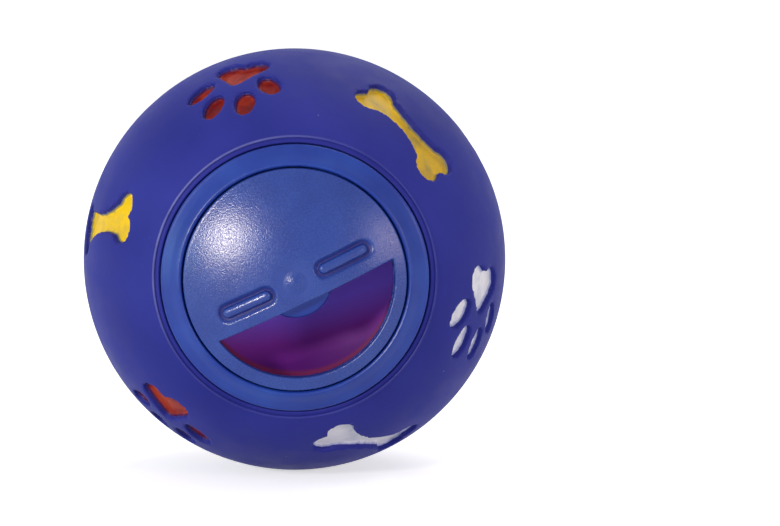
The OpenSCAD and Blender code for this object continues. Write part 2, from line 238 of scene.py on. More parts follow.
def softVinyl():
    material, tree, place = startMaterial("matt royal blue soft PVC")
    look = vinylLook
    clouds = addNode(tree, "TexNoise", {"Vector": place, "Scale": mmPerMetre / look["cloudMm"], "Detail": 3.0,
                                        "Roughness": 0.55})
    base = addNode(tree, "ValToRGB", {"Fac": clouds.outputs["Fac"]},
                   [(0.3, look["dark"]), (0.5, look["mid"]), (0.72, look["light"])]).outputs["Color"]
    # dust specks: small cells of which only a few are near enough to their centre
    cells = addNode(tree, "TexVoronoi", {"Vector": place, "Scale": mmPerMetre / look["dustMm"],
                                         "Randomness": 1.0})
    few = addNode(tree, "TexNoise", {"Vector": place, "Scale": mmPerMetre / look["dustPatchMm"],
                                     "Detail": 1.0})
    near = addNode(tree, "MapRange", {"Value": cells.outputs["Distance"], "From Min": look["dustCore"],
                                      "From Max": look["dustRim"], "To Min": 1.0, "To Max": 0.0})
    rare = addNode(tree, "MapRange", {"Value": few.outputs["Fac"], "From Min": look["dustFrom"],
                                      "From Max": look["dustFull"]})
    speck = addNode(tree, "Math", {0: near.outputs["Result"], 1: rare.outputs["Result"]}, operation="MULTIPLY")
    faint = addNode(tree, "Math", {0: speck.outputs["Value"], 1: look["dust"]}, operation="MULTIPLY")
    colour = addNode(tree, "Mix", {"Factor": faint.outputs["Value"], "A": base, "B": linear(look["speck"])},
                     data_type="RGBA")
    grain = addNode(tree, "TexNoise", {"Vector": place, "Scale": mmPerMetre / look["grainMm"], "Detail": 2.0})
    wearAndHighlightNoise = addNode(tree, "TexNoise", {"Vector": place, "Scale": mmPerMetre / look["wearAndHighlightMm"], "Detail": 4.0})
    rough = addNode(tree, "MapRange", {"Value": wearAndHighlightNoise.outputs["Fac"], **middleOfNoise,
                                       "To Min": look["leastRough"], "To Max": look["mostRough"]})
    bump = addNode(tree, "Bump", {"Height": grain.outputs["Fac"], "Strength": look["grain"],
                                  "Distance": look["grainDepthMm"] / mmPerMetre})
    # the line of flash round the mouth is rubbed smooth and carries a painted highlight, pale and patchy, most at
    # the upper left
    axes = addNode(tree, "SeparateXYZ", {"Vector": place})
    flat = addNode(tree, "CombineXYZ", {"X": axes.outputs["X"], "Y": axes.outputs["Z"]})
    radius = addNode(tree, "VectorMath", {0: flat.outputs["Vector"]}, operation="LENGTH")
    off = addNode(tree, "Math", {0: radius.outputs["Value"], 1: look["flashMm"] / mmPerMetre},
                  operation="SUBTRACT")
    away = addNode(tree, "Math", {0: off.outputs["Value"]}, operation="ABSOLUTE")
    ring = addNode(tree, "MapRange", {"Value": away.outputs["Value"],
                                      "From Min": look["flashCoreMm"] / mmPerMetre,
                                      "From Max": look["flashRimMm"] / mmPerMetre, "To Min": 1.0, "To Max": 0.0})
    # the same radius is met again at the back of the ball, which has no flash
    front = addNode(tree, "MapRange", {"Value": axes.outputs["Y"], "From Min": look["frontFrom"],
                                       "From Max": look["frontFull"]})
    flashLine = addNode(tree, "Math", {0: ring.outputs["Result"], 1: front.outputs["Result"]}, operation="MULTIPLY")
    slant = addNode(tree, "VectorMath", {0: place, 1: look["highlightSide"]}, operation="DOT_PRODUCT")
    paintedHighlightSide = addNode(tree, "MapRange", {"Value": slant.outputs["Value"], "From Min": look["highlightFrom"],
                                      "From Max": look["highlightFull"], "To Min": look["leastHighlight"],
                                      "To Max": look["mostHighlight"]})
    patchyHighlight = addNode(tree, "Math", {0: paintedHighlightSide.outputs["Result"], 1: wearAndHighlightNoise.outputs["Fac"]}, operation="MULTIPLY")
    paintedHighlight = addNode(tree, "Math", {0: flashLine.outputs["Value"], 1: patchyHighlight.outputs["Value"]}, operation="MULTIPLY")
    # painted highlight: the flash line's colour is mixed towards the pale speck colour
    withPaintedHighlight = addNode(tree, "Mix", {"Factor": paintedHighlight.outputs["Value"], "A": colour.outputs["Result"],
                                 "B": linear(look["speck"])}, data_type="RGBA")
    smooth = addNode(tree, "Math", {0: flashLine.outputs["Value"], 1: -look["flashShine"],
                                    2: rough.outputs["Result"]}, operation="MULTIPLY_ADD")
    finishMaterial(tree, {"Base Color": withPaintedHighlight.outputs["Result"], "Roughness": smooth.outputs["Value"],
                          "Normal": bump.outputs["Normal"], "IOR": look["ior"], "Sheen Weight": look["sheen"],
                          "Specular IOR Level": look["specular"], "Sheen Roughness": look["sheenRough"],
                          "Sheen Tint": linear(look["bloom"])})
    return material


# Injection-moulded ABS straight from a fine-blasted tool: an even satin that keeps a soft line of light on
# each edge
ringLook = {"dark": "#142f8a", "mid": "#1a3995", "light": "#2146a1", "cloudMm": 16, "grainMm": 0.35,
            "grain": 0.25, "grainDepthMm": 0.1, "leastRough": 0.29, "mostRough": 0.38, "specular": 0.26,
            "ior": 1.54}


def satinAbs():
    material, tree, place = startMaterial("satin blue ABS")
    look = ringLook
    clouds = addNode(tree, "TexNoise", {"Vector": place, "Scale": mmPerMetre / look["cloudMm"], "Detail": 4.0})
    base = addNode(tree, "ValToRGB", {"Fac": clouds.outputs["Fac"]},
                   [(0.3, look["dark"]), (0.5, look["mid"]), (0.72, look["light"])]).outputs["Color"]
    grain = addNode(tree, "TexNoise", {"Vector": place, "Scale": mmPerMetre / look["grainMm"], "Detail": 2.0})
    rough = addNode(tree, "MapRange", {"Value": clouds.outputs["Fac"], **middleOfNoise,
                                       "To Min": look["leastRough"], "To Max": look["mostRough"]})
    bump = addNode(tree, "Bump", {"Height": grain.outputs["Fac"], "Strength": look["grain"],
                                  "Distance": look["grainDepthMm"] / mmPerMetre})
    finishMaterial(tree, {"Base Color": base, "Roughness": rough.outputs["Result"],
                          "Normal": bump.outputs["Normal"], "IOR": look["ior"],
                          "Specular IOR Level": look["specular"]})
    return material


# ABS from a spark-eroded tool: shallow pits about half a millimetre across that break a highlight into glints
dialLook = {"dark": "#0f3085", "mid": "#16388e", "light": "#1e4298", "sunk": "#1c1468", "cloudMm": 13,
            "grainMm": 0.45, "fineMm": 0.25, "fineShare": 0.35, "grain": 0.5, "grainDepthMm": 0.16,
            "pitTone": 0.3, "leastRough": 0.2, "mostRough": 0.34, "specular": 0.42, "ior": 1.54,
            "domeCentre": (0, 0.00388, 0), "recessShadeFrom": 0.05794, "recessShadeFull": 0.05725, "sunkTint": 0.75,
            "dullFrom": 0.05808, "dullFull": 0.0577, "sunkRough": 0.62}


def sparkGrainAbs():
    material, tree, place = startMaterial("spark-grained blue ABS")
    look = dialLook
    clouds = addNode(tree, "TexNoise", {"Vector": place, "Scale": mmPerMetre / look["cloudMm"], "Detail": 3.0})
    pits = addNode(tree, "TexNoise", {"Vector": place, "Scale": mmPerMetre / look["grainMm"], "Detail": 2.0,
                                      "Roughness": 0.6})
    fine = addNode(tree, "TexVoronoi", {"Vector": place, "Scale": mmPerMetre / look["fineMm"]},
                   feature="SMOOTH_F1")
    height = addNode(tree, "Mix", {"Factor": look["fineShare"], "A": pits.outputs["Fac"],
                                   "B": fine.outputs["Distance"]})
    tone = addNode(tree, "Mix", {"Factor": look["pitTone"], "A": clouds.outputs["Fac"],
                                 "B": pits.outputs["Fac"]})
    base = addNode(tree, "ValToRGB", {"Fac": tone.outputs["Result"]},
                   [(0.34, look["dark"]), (0.5, look["mid"]), (0.68, look["light"])]).outputs["Color"]
    # painted shade: deeper than a quarter millimetre below the dome, as in the rib pockets, the colour darkens to
    # violet
    reach = addNode(tree, "VectorMath", {0: place, 1: look["domeCentre"]}, operation="DISTANCE")
    sunk = addNode(tree, "MapRange", {"Value": reach.outputs["Value"], "From Min": look["recessShadeFrom"],
                                      "From Max": look["recessShadeFull"], "To Max": look["sunkTint"]})
    recessShaded = addNode(tree, "Mix", {"Factor": sunk.outputs["Result"], "A": base, "B": linear(look["sunk"])},
                     data_type="RGBA")
    rough = addNode(tree, "MapRange", {"Value": pits.outputs["Fac"], **middleOfNoise,
                                       "To Min": look["leastRough"], "To Max": look["mostRough"]})
    # no finger polishes the pockets, so they stay dull from just below the dome
    dull = addNode(tree, "MapRange", {"Value": reach.outputs["Value"], "From Min": look["dullFrom"],
                                      "From Max": look["dullFull"]})
    finish = addNode(tree, "Mix", {"Factor": dull.outputs["Result"], "A": rough.outputs["Result"],
                                   "B": look["sunkRough"]})
    bump = addNode(tree, "Bump", {"Height": height.outputs["Result"], "Strength": look["grain"],
                                  "Distance": look["grainDepthMm"] / mmPerMetre})
    finishMaterial(tree, {"Base Color": recessShaded.outputs["Result"],
                          "Roughness": finish.outputs["Result"], "Normal": bump.outputs["Normal"],
                          "IOR": look["ior"], "Specular IOR Level": look["specular"]})
    return material


# Moulded polystyrene: smooth crimson. The dish carries a painted reflection of the blue that stands round it,
# violet in the middle of the dish
insertLook = {"violet": "#8a66ff", "plum": "#8c32b0", "shade": "#641a86", "crimson": "#842c62", "waveMm": 18,
              "wave": 0.12, "flowMm": 4, "flow": 0.06, "flowDepthMm": 0.2, "slant": 0.35, "violetLevel": -0.002,
              "shadeLevel": -0.026, "violetTone": -0.05, "shadeTone": 0.95, "dishRadius": 0.0244,
              "flangeRadius": 0.0252, "dishBack": -0.026, "stageFront": -0.02, "roughness": 0.45, "specular": 0.1,
              "ior": 1.59}


def crimsonStyrene():
    material, tree, place = startMaterial("crimson polystyrene")
    look = insertLook
    axes = addNode(tree, "SeparateXYZ", {"Vector": place})
    waves = addNode(tree, "TexNoise", {"Vector": place, "Scale": mmPerMetre / look["waveMm"], "Detail": 2.0})
    # painted light and shade: light violet where the dish is shaded, then plum and darker towards the lit low
    # right of the port
    right = addNode(tree, "Math", {0: axes.outputs["X"], 1: 0.0}, operation="MAXIMUM")
    depth = addNode(tree, "Math", {0: right.outputs["Value"], 1: -look["slant"], 2: axes.outputs["Z"]},
                    operation="MULTIPLY_ADD")
    down = addNode(tree, "MapRange", {"Value": depth.outputs["Value"], "From Min": look["violetLevel"],
                                      "From Max": look["shadeLevel"], "To Min": look["violetTone"],
                                      "To Max": look["shadeTone"]})
    tone = addNode(tree, "Math", {0: waves.outputs["Fac"], 1: look["wave"], 2: down.outputs["Result"]},
                   operation="MULTIPLY_ADD")
    dish = addNode(tree, "ValToRGB", {"Fac": tone.outputs["Value"]},
                   [(0.36, look["violet"]), (0.7, look["plum"]), (0.9, look["shade"])]).outputs["Color"]
    # the dish's flange and the stages behind it are crimson
    behind = addNode(tree, "MapRange", {"Value": axes.outputs["Y"], "From Min": look["dishBack"],
                                        "From Max": look["stageFront"]})
    across = addNode(tree, "VectorMath", {0: place, 1: (1, 0, 1)}, operation="MULTIPLY")
    spread = addNode(tree, "VectorMath", {0: across.outputs["Vector"]}, operation="LENGTH")
    outside = addNode(tree, "MapRange", {"Value": spread.outputs["Value"], "From Min": look["dishRadius"],
                                         "From Max": look["flangeRadius"]})
    rest = addNode(tree, "Math", {0: behind.outputs["Result"], 1: outside.outputs["Result"]}, operation="MAXIMUM")
    base = addNode(tree, "Mix", {"Factor": rest.outputs["Value"], "A": dish, "B": linear(look["crimson"])},
                   data_type="RGBA").outputs["Result"]
    flow = addNode(tree, "TexNoise", {"Vector": place, "Scale": mmPerMetre / look["flowMm"], "Detail": 2.0})
    bump = addNode(tree, "Bump", {"Height": flow.outputs["Fac"], "Strength": look["flow"],
                                  "Distance": look["flowDepthMm"] / mmPerMetre})
    finishMaterial(tree, {"Base Color": base, "Roughness": look["roughness"],
                          "Normal": bump.outputs["Normal"], "IOR": look["ior"],
                          "Specular IOR Level": look["specular"]})
    return material


# Spray-masked vinyl paint in the recesses: satin, a little uneven, and thinning out to the bare vinyl up the
# walls. It is whole at a distance of "full" from the ball's centre and gone at "none"
paintLooks = {
    "yellow": {"thin": "#ac9650", "mid": "#d2ae3e", "thick": "#f2c40c", "rim": "#8c8658", "litSide": (-2.4, 0, 2.2),
               "full": 0.05315, "none": 0.0538},
    "red": {"thin": "#5c141c", "mid": "#80100a", "thick": "#a8361c", "rim": "#4c1648", "litSide": (-2.2, 0, 0),
            "full": 0.05315, "none": 0.054},
    "white": {"thin": "#ccd4e6", "mid": "#ebedf4", "thick": "#f6f7fa", "rim": "#aeb6dc", "litSide": (0, 0, 0),
              "full": 0.05315, "none": 0.0538}}
paintFinish = {"cloudMm": 6, "raggedMm": 1.6, "ragged": 0.0005, "rimFrom": 0.05, "rimFull": 0.4, "bareFrom": 0.7,
               "bareFull": 1.0, "grainMm": 0.8, "grain": 0.25, "grainDepthMm": 0.2, "leastRough": 0.38,
               "mostRough": 0.55, "specular": 0.15, "ior": 1.5}


def vinylPaint(colour):
    material, tree, place = startMaterial(colour + " vinyl paint")
    look, finish = paintLooks[colour], paintFinish
    clouds = addNode(tree, "TexNoise", {"Vector": place, "Scale": mmPerMetre / finish["cloudMm"], "Detail": 5.0,
                                        "Roughness": 0.6})
    # painted light: the colour runs thicker and lighter towards the side the lamps light, upper left for yellow
    # and left for red
    towardLight = addNode(tree, "VectorMath", {0: place, 1: look["litSide"]}, operation="DOT_PRODUCT")
    coatAndLight = addNode(tree, "Math", {0: towardLight.outputs["Value"], 1: clouds.outputs["Fac"]})
    base = addNode(tree, "ValToRGB", {"Fac": coatAndLight.outputs["Value"]},
                   [(0.3, look["thin"]), (0.47, look["mid"]), (0.68, look["thick"])]).outputs["Color"]
    # how high up the wall a point is, as its distance from the ball's centre, with a ragged edge
    height = addNode(tree, "VectorMath", {0: place}, operation="LENGTH")
    ragged = addNode(tree, "TexNoise", {"Vector": place, "Scale": mmPerMetre / finish["raggedMm"], "Detail": 3.0})
    edge = addNode(tree, "Math", {0: ragged.outputs["Fac"], 1: finish["ragged"], 2: height.outputs["Value"]},
                   operation="MULTIPLY_ADD")
    above = addNode(tree, "MapRange", {"Value": edge.outputs["Value"],
                                       "From Min": look["full"] + finish["ragged"] / 2,
                                       "From Max": look["none"] + finish["ragged"] / 2})
    toRim = addNode(tree, "MapRange", {"Value": above.outputs["Result"], "From Min": finish["rimFrom"],
                                       "From Max": finish["rimFull"]})
    toVinyl = addNode(tree, "MapRange", {"Value": above.outputs["Result"], "From Min": finish["bareFrom"],
                                         "From Max": finish["bareFull"]})
    rimMix = addNode(tree, "Mix", {"Factor": toRim.outputs["Result"], "A": base, "B": linear(look["rim"])},
                     data_type="RGBA")
    colourMix = addNode(tree, "Mix", {"Factor": toVinyl.outputs["Result"], "A": rimMix.outputs["Result"],
                                      "B": linear(vinylLook["mid"])}, data_type="RGBA")
    grain = addNode(tree, "TexNoise", {"Vector": place, "Scale": mmPerMetre / finish["grainMm"], "Detail": 3.0})
    rough = addNode(tree, "MapRange", {"Value": grain.outputs["Fac"], **middleOfNoise,
                                       "To Min": finish["leastRough"], "To Max": finish["mostRough"]})
    bump = addNode(tree, "Bump", {"Height": grain.outputs["Fac"], "Strength": finish["grain"],
                                  "Distance": finish["grainDepthMm"] / mmPerMetre})
    finishMaterial(tree, {"Base Color": colourMix.outputs["Result"], "Roughness": rough.outputs["Result"],
                          "Normal": bump.outputs["Normal"], "IOR": finish["ior"],
                          "Specular IOR Level": finish["specular"]})
    return material


vinyl = softVinyl()
ringPlastic = satinAbs()
dialPlastic = sparkGrainAbs()
insertPlastic = crimsonStyrene()
paints = {colour: vinylPaint(colour) for colour in paintLooks}
print("materials ready")


def dressNode(node, material):
    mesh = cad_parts[node].data
    mesh.materials.clear()
    mesh.materials.append(material)


dressNode("ball_shell", vinyl)
dressNode("closure_body", ringPlastic)
dressNode("dial", dialPlastic)
dressNode("pivot_pin", dialPlastic)
for insertNode in ("labyrinth_bowl", "labyrinth_tube", "baffle_stack", "end_cap"):
    dressNode(insertNode, insertPlastic)
dressNode("red_paw_paint", paints["red"])
dressNode("yellow_bone_paint", paints["yellow"])
dressNode("white_paw_paint", paints["white"])
dressNode("white_bone_paint", paints["white"])


# The ball: a hollow vinyl skin with a mouth and a recess for each motif
ball = {"radius": 55, "floor": 53.05, "inside": 51, "wellLow": 46, "wellHigh": 58, "overcut": 1,
        "seatRadius": 33.35, "seatHeight": 40.95, "boreRadius": 31.5, "sleeveRadius": 34, "sleeveEnd": 31.45,
        "lipRadius": 35, "lipDrop": 0.3, "lipRound": 0.45, "mouthTop": 60, "flashRadius": 0.32,
        "flashRise": 0.28, "flashFlat": 15, "voxel": 0.5, "quickVoxel": 0.9, "passes": 3, "triangles": 150000}

# Each motif's colour, angle from the mouth's axis, angle round that axis, and own turn
motifPlaces = {
    "paw": [("red", 63.7, 107.8, 70), ("red", 66.5, -130.6, -65), ("red", 100, 30.7, -90), ("red", 104, -41, 60),
            ("red", 148, 125, 20), ("white", 60.9, -13.5, 176.6), ("white", 105, 80, -30),
            ("white", 148, -115, -100)],
    "bone": [("yellow", 57.5, 52, 70.4), ("yellow", 67.5, 166.5, 18), ("yellow", 105, 137, 40),
             ("yellow", 105, -99, -60), ("yellow", 148, 5, 25), ("white", 61, -67.4, 38),
             ("white", 105, -160, 70)]}

# The pad's heel has two lobes with a notch between them, and each toe is its place and lean
paw = {"heelRadius": 3.7, "heelAcross": 3.3, "notchRadius": 2.5, "length": 12, "tipRadius": 2, "flankShare": 0.98,
       "toeWidth": 5.4, "toeLength": 9,
       "toes": [(-9.1, 0.8, 34), (-4.2, 7.9, 8), (4.2, 7.9, -8), (9.1, 0.8, -34)]}

bone = {"lobeAlong": 11.4, "lobeAcross": 2.9, "lobeRadius": 3.6, "waist": 5, "sideRadius": 20}


def pawWell():
    low, high = ball["wellLow"], ball["wellHigh"]
    heelRadius, tipRadius = paw["heelRadius"], paw["tipRadius"]
    heel = Vector((paw["heelAcross"], heelRadius - paw["length"]))
    tip = Vector((0, -tipRadius))
    run = tip - heel
    side = math.atan2(run.y, run.x) - math.acos((heelRadius - tipRadius) / run.length)
    # a hair inside the circles, so that no two faces lie in one plane
    out = paw["flankShare"] * Vector((math.cos(side), math.sin(side)))
    a, b = heel + heelRadius * out, tip + tipRadius * out
    middle = prism([(heel.x, heel.y), (a.x, a.y), (b.x, b.y), (-b.x, b.y), (-a.x, a.y), (-heel.x, heel.y)],
                   low, high)
    pad = fuseAll([middle, rod(heelRadius, low, high, heel), rod(heelRadius, low, high, (-heel.x, heel.y)),
                   rod(tipRadius, low, high, tip), rod(paw["notchRadius"], low, high, (0, heel.y))])
    pieces = [pad]
    for x, y, lean in paw["toes"]:
        toe = rod(paw["toeLength"] / 2, low, high)
        tilt = Matrix.Rotation(math.asin(math.hypot(x, y) / ball["radius"]), 4, Vector((-y, x, 0)))
        narrow = Matrix.Diagonal((paw["toeWidth"] / paw["toeLength"], 1, 1, 1))
        toe.data.transform(tilt @ Matrix.Rotation(math.radians(lean), 4, "Z") @ narrow)
        pieces.append(toe)
    return joinAll(pieces, "pawWell")


def boneWell():
    low, high = ball["wellLow"], ball["wellHigh"]
    along, across, radius = bone["lobeAlong"], bone["lobeAcross"], bone["lobeRadius"]
    shaft = block((2 * along, 2 * across + radius, high - low), (0, 0, (low + high) / 2))
    for side in (-1, 1):
        carve(shaft, rod(bone["sideRadius"], low - ball["overcut"], high + ball["overcut"],
                         (0, side * (bone["waist"] / 2 + bone["sideRadius"])), sides=128))
    return fuseAll([shaft] + [rod(radius, low, high, (x * along, y * across)) for x in (-1, 1) for y in (-1, 1)])


# All the wells as one cutting tool: each shape is made once, then copied to its places
def allWells():
    wells = []
    for name, master in (("paw", pawWell()), ("bone", boneWell())):
        for _, polar, azimuth, spin in motifPlaces[name]:
            well = bpy.data.objects.new("well", master.data.copy())
            bpy.context.collection.objects.link(well)
            well.data.transform(Matrix.Rotation(math.radians(azimuth), 4, "Z")
                                @ Matrix.Rotation(math.radians(polar), 4, "Y")
                                @ Matrix.Rotation(math.radians(spin), 4, "Z"))
            wells.append(well)
        bpy.data.objects.remove(master)
    return joinAll(wells, "wells")


# What is cut out of the skin: the hollow, the bore through the sleeve, the seat for the closure's ring and the
# slightly sunk strip of vinyl that runs round the ring
def mouthAndHollow():
    seat, strip = ball["seatRadius"], ball["radius"] - ball["lipDrop"]
    corner = seat + ball["lipRound"]
    meet = math.degrees(math.asin(ball["sleeveRadius"] / ball["inside"]))
    stripStart, stripEnd = (math.degrees(math.acos(r / strip)) for r in (ball["lipRadius"], corner))
    cornerHeight = strip * math.sin(math.radians(stripEnd)) - ball["lipRound"]
    return turned([(0, ball["mouthTop"]), (ball["lipRadius"], ball["mouthTop"])]
                  + arc((0, 0), strip, stripStart, stripEnd, 4)
                  + arc((corner, cornerHeight), ball["lipRound"], 100, 180, 5)
                  + [(seat, ball["seatHeight"]), (ball["boreRadius"], ball["seatHeight"]),
                     (ball["boreRadius"], ball["sleeveEnd"]), (ball["sleeveRadius"], ball["sleeveEnd"])]
                  + arc((0, 0), ball["inside"], 90 - meet, -90, 64))


def makeBall():
    skin = globe(ball["radius"], segments=256)
    carve(skin, allWells())
    carve(skin, globe(ball["floor"], segments=192), "UNION")
    soften(skin, ball)
    carve(skin, mouthAndHollow())
    # the thin line of flash that the mould left round the mouth, a wire with a flat along its outer side
    reach = ball["radius"] + ball["flashRise"] - ball["flashRadius"]
    rise = math.sqrt(reach ** 2 - ball["lipRadius"] ** 2)
    wire = arc((ball["lipRadius"], rise), ball["flashRadius"], ball["flashFlat"], 360 - ball["flashFlat"], 12)
    carve(skin, turned(wire), "UNION")
    return keepLargest(skin)


# Paint sprayed into the wells: the skin's faces at the floors and low on the walls, lifted a little and closed to
# a thin layer. Reach is the angle from a motif's middle within which a face is its own
paintLayer = {"top": 54.1, "bottom": 52.05, "lift": 0.04, "thickness": 0.12, "reach": 20, "mouthRadius": 36,
              "inward": -30}


# From the ball's centre towards a motif
def motifDirection(polar, azimuth):
    p, a = math.radians(polar), math.radians(azimuth)
    return Vector((math.sin(p) * math.cos(a), math.sin(p) * math.sin(a), math.cos(p)))


def makePaint(skin, motif, colour, node):
    motifs = [(owner, tint, motifDirection(polar, azimuth))
              for owner in motifPlaces for tint, polar, azimuth, _ in motifPlaces[owner]]
    inside = math.cos(math.radians(paintLayer["reach"]))
    layer = bpy.data.objects.new("layer", skin.data.copy())
    bpy.context.collection.objects.link(layer)
    drop = []
    for face in layer.data.polygons:
        centre = face.center
        low = paintLayer["bottom"] < centre.length < paintLayer["top"]
        mouth = centre.z > 0 and centre.xy.length < paintLayer["mouthRadius"]
        nearest = max(motifs, key=lambda place: place[2].dot(centre))
        own = nearest[:2] == (motif, colour) and nearest[2].dot(centre.normalized()) > inside
        drop.append(not low or mouth or not own or face.normal.dot(centre) < paintLayer["inward"])
    pick(layer)
    layer.data.polygons.foreach_set("select", drop)
    bpy.ops.object.mode_set(mode="EDIT")
    bpy.ops.mesh.select_mode(type="FACE")
    bpy.ops.mesh.delete(type="FACE")
    bpy.ops.mesh.select_all(action="SELECT")
    bpy.ops.transform.shrink_fatten(value=paintLayer["lift"])
    bpy.ops.object.mode_set(mode="OBJECT")
    applyModifier(layer, "SOLIDIFY", thickness=paintLayer["thickness"], offset=-1)
    settle(layer, colour + motif.title() + "Paint", "ball", node, paints[colour])


def makeBallAndPaint():
    skin = makeBall()
    makePaint(skin, "paw", "red", "red_paw_paint")
    makePaint(skin, "bone", "yellow", "yellow_bone_paint")
    makePaint(skin, "paw", "white", "white_paw_paint")
    makePaint(skin, "bone", "white", "white_bone_paint")
    settle(skin, "ballSkin", "ball", "ball_shell", vinyl, smoothAngle=35)


makeBallAndPaint()


# The dial: a dome with a half-moon window and two finger ribs in sunk pockets, each step of which is the margin
# round the rib and the depth
dial = {"radius": 27.5, "domeRadius": 58.18, "domeCentre": -3.88, "thickness": 2, "edgeRound": 0.5,
        "windowRadius": 24.2, "windowOffset": 5.5, "windowAngle": 25.3, "windowSlide": 0.3, "windowBevel": 0.35,
        "ribLength": 13, "ribWidth": 2.6, "ribHeight": 0.55, "ribFromMiddle": 13, "ribLine": 0.1,
        "pocketSteps": [(1.45, 0.2), (1.15, 0.5), (0.85, 0.8), (0.45, 1.05)], "pocketLow": 40,
        "bossRadius": 5, "bossLow": 52.05, "bossTop": 53.8, "saucerRadius": 6, "saucerDepth": 0.4,
        "pinHole": 1.83, "voxel": 0.2, "quickVoxel": 0.4, "passes": 2, "triangles": 120000}
cut = {"low": 20, "high": 60, "reach": 30}  # cutting tools go past the closure on each side


# The half-moon of the window or of the port behind it
def halfMoon(radius, offset, slide=0):
    corner = math.degrees(math.asin(offset / radius))
    obj = prism(arc((slide, 0), radius, -180 + corner, -corner, 120), cut["low"], cut["high"])
    obj.data.transform(Matrix.Rotation(math.radians(dial["windowAngle"]), 4, "Z"))
    return obj


# Solid under a dome of the dial's centre, to cut or fill up to
def underDome(radius):
    edge = math.degrees(math.acos(cut["reach"] / radius))
    return turned([(0, cut["low"]), (cut["reach"], cut["low"])]
                  + arc((0, dial["domeCentre"]), radius, edge, 90, 40), steps=128)


# Height of the dial's dome over a point
def domeHeight(x, y):
    return dial["domeCentre"] + math.sqrt(dial["domeRadius"] ** 2 - x * x - y * y)


# One step of the sunk pocket round a finger rib. The steps melt into a slope when the dial is softened
def ribPocket(side, margin, depth):
    radius = dial["ribWidth"] / 2 + margin
    reach = (dial["ribLength"] - dial["ribWidth"]) / 2
    x, y = side * dial["ribFromMiddle"], dial["ribLine"]
    obj = prism(arc((x + reach, y), radius, -90, 90, 24) + arc((x - reach, y), radius, 90, 270, 24),
                dial["pocketLow"], cut["high"])
    carve(obj, underDome(dial["domeRadius"] - depth))
    obj.data.transform(Matrix.Rotation(math.radians(dial["windowAngle"]), 4, "Z"))
    return obj


# A finger rib: a round-ended bar that follows the dome
def fingerRib(side):
    radius = dial["ribWidth"] / 2
    reach = (dial["ribLength"] - dial["ribWidth"]) / 2
    # points along the straight part, so that it can bend with the dome
    steps = 12
    along = [(radius, reach * (2 * i / steps - 1)) for i in range(1, steps)]
    bar = turned(arc((0, -reach), radius, -90, 0, 12) + along + arc((0, reach), radius, 0, 90, 12), steps=32)
    bar.data.transform(Matrix.Translation((side * dial["ribFromMiddle"], dial["ribLine"], 0))
                       @ Matrix.Rotation(math.radians(90), 4, "Y"))
    for vertex in bar.data.vertices:
        vertex.co.z += domeHeight(vertex.co.x, vertex.co.y) + dial["ribHeight"] - radius
    bar.data.transform(Matrix.Rotation(math.radians(dial["windowAngle"]), 4, "Z"))
    return bar


def makeDial():
    outer, centre = dial["domeRadius"], (0, dial["domeCentre"])
    inner = outer - dial["thickness"]
    corner = dial["radius"] - dial["edgeRound"]
    edgeLow = math.degrees(math.acos(dial["radius"] / inner))
    edgeTop = math.degrees(math.acos(corner / outer))
    disc = turned(arc(centre, inner, 90, edgeLow, 48)
                  + arc((corner, domeHeight(corner, 0) - dial["edgeRound"]), dial["edgeRound"], 0, edgeTop, 6)
                  + arc(centre, outer, edgeTop, 90, 48))
    carve(disc, halfMoon(dial["windowRadius"], dial["windowOffset"], dial["windowSlide"]))
    # the window's round edge is bevelled
    bevel = halfMoon(dial["windowRadius"] + dial["windowBevel"], dial["windowOffset"], dial["windowSlide"])
    carve(bevel, underDome(outer - dial["windowBevel"]))
    carve(disc, bevel)
    for side in (-1, 1):
        for margin, depth in dial["pocketSteps"]:
            carve(disc, ribPocket(side, margin, depth))
    for side in (-1, 1):
        carve(disc, fingerRib(side), "UNION")
    carve(disc, rod(dial["bossRadius"], dial["bossLow"], dial["bossTop"], sides=96), "UNION")
    # a shallow saucer round the pin's head
    reach, steps = dial["saucerRadius"], 12
    rim = domeHeight(reach, 0)
    low = outer + dial["domeCentre"] - dial["saucerDepth"]
    hollow = [(reach * i / steps, low + (rim - low) * (1 - math.cos(math.pi * i / steps)) / 2)
              for i in range(steps + 1)]
    carve(disc, turned([(0, cut["high"])] + hollow + [(reach, cut["high"])], steps=96))
    carve(disc, rod(dial["pinHole"], cut["low"], cut["high"]))
    soften(disc, dial)
    settle(disc, "dialDisc", "dial_unit", "dial", dialPlastic)


makeDial()


# The closure: ring, neck, plate with its half-moon port, and hub
closure = {"ringRadius": 33.15, "ringBore": 27.8, "ringLow": 40.95, "outerRound": 0.6, "innerRound": 0.9,
           "lipRise": 0.3, "lipWidth": 2.4, "ringDip": 0.1, "neckRadius": 30.5, "neckInside": 28.5,
           "neckEnd": 28.55, "beadHeight": 0.5, "beadLevel": 30, "plateTop": 55.7, "plateLow": 53.9,
           "portRadius": 24.2, "portOffset": 5.8, "hubRadius": 9.1, "hubTop": 51.06, "hubLow": 44.06,
           "hubRound": 1.3, "pinHole": 1.86, "voxel": 0.25, "quickVoxel": 0.5, "passes": 2, "triangles": 170000}


# Height of a point of the ring's top, which follows the ball a little below its surface
def ringHeight(r, drop):
    return math.sqrt((ball["radius"] - drop) ** 2 - r * r)


